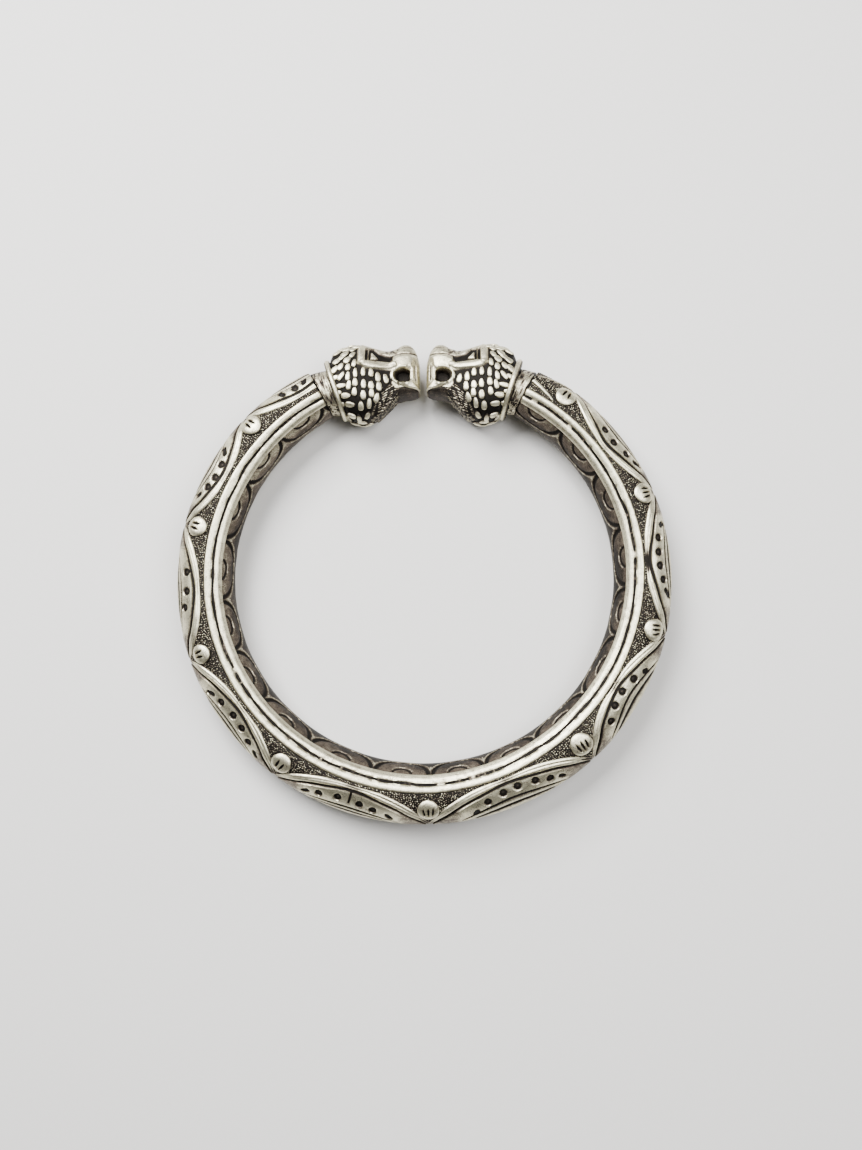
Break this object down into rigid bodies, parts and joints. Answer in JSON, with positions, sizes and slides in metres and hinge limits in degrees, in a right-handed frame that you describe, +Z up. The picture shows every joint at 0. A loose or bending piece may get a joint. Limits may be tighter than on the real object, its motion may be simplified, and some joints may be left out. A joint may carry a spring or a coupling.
{
  "type": "kada bangle",
  "caption": "Open tubular silver kada with raised bands, swags, dotted leaves and buttons, closed at each end by a cast lion head facing the other across a narrow gap.",
  "frame": {"origin": "centre of the bounding box in plan, on the surface that the bangle lies on", "axes": "+Z up out of the ring, +Y towards the gap between the heads, +X across the ring"},
  "size_m": [0.0794, 0.0771, 0.0105],
  "materials": {
    "silver": "oxidised silver: black in the recesses, softly polished and warm white on what stands out"
  },
  "bodies": {
    "root": {"hoop": "silver", "head_left": "silver", "head_right": "silver"}
  },
  "joints": []
}
